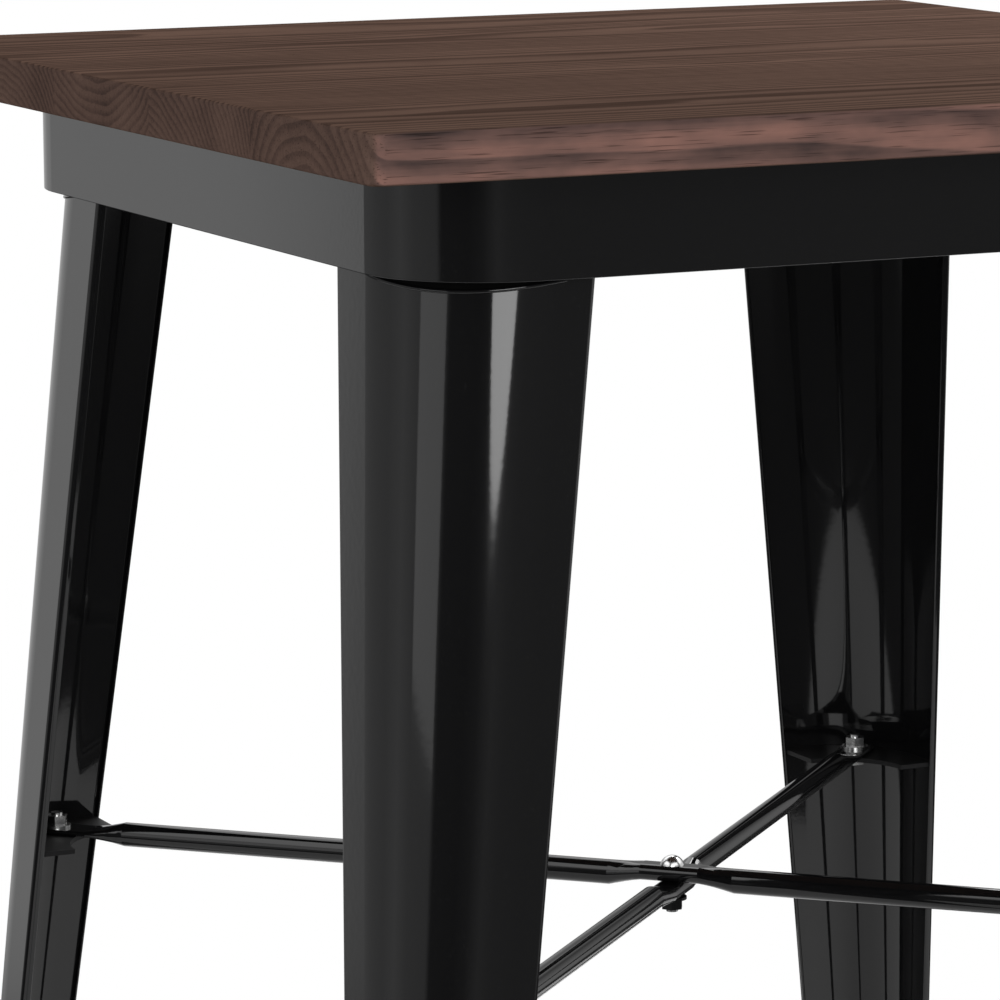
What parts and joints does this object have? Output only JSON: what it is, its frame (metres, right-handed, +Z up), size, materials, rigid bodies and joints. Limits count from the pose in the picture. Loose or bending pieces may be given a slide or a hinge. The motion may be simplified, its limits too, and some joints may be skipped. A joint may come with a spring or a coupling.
{
  "type": "bar table",
  "caption": "Square bar-height table: stave-glued dark wood top on a black pressed-steel apron, splayed tapering legs and crossed tube braces",
  "frame": {"origin": "on the floor under the middle of the table", "axes": "+Z up; +X along the staves of the top, from left to right along the front edge; +Y from the front edge to the back edge"},
  "size_m": [0.6184, 0.6184, 1.016],
  "materials": {
    "top_wood": "dark walnut stain, satin lacquer",
    "black_steel": "glossy black powder coat",
    "zinc_hardware": "bright zinc plate",
    "glide_rubber": "matt black rubber"
  },
  "bodies": {
    "root": {"apron_frame": "black_steel", "apron_gusset_back": "black_steel", "apron_gusset_left": "black_steel", "apron_gusset_near": "black_steel", "apron_gusset_right": "black_steel", "brace_end_bolts": "zinc_hardware", "brace_end_nuts": "zinc_hardware", "brace_end_washers": "zinc_hardware", "brace_lower": "black_steel", "brace_shelf_back": "black_steel", "brace_shelf_left": "black_steel", "brace_shelf_near": "black_steel", "brace_shelf_right": "black_steel", "brace_upper": "black_steel", "crossing_bolt": "zinc_hardware", "crossing_nut": "zinc_hardware", "crossing_washer": "zinc_hardware", "foot_glide_back": "glide_rubber", "foot_glide_left": "glide_rubber", "foot_glide_near": "glide_rubber", "foot_glide_right": "glide_rubber", "leg_back": "black_steel", "leg_bolt_washers": "zinc_hardware", "leg_bolts": "zinc_hardware", "leg_cap_back": "black_steel", "leg_cap_left": "black_steel", "leg_cap_near": "black_steel", "leg_cap_right": "black_steel", "leg_left": "black_steel", "leg_near": "black_steel", "leg_right": "black_steel", "leg_weld_nuts": "zinc_hardware", "top_screws": "zinc_hardware", "top_stave_1": "top_wood", "top_stave_2": "top_wood", "top_stave_3": "top_wood", "top_stave_4": "top_wood", "top_stave_5": "top_wood"}
  },
  "joints": []
}
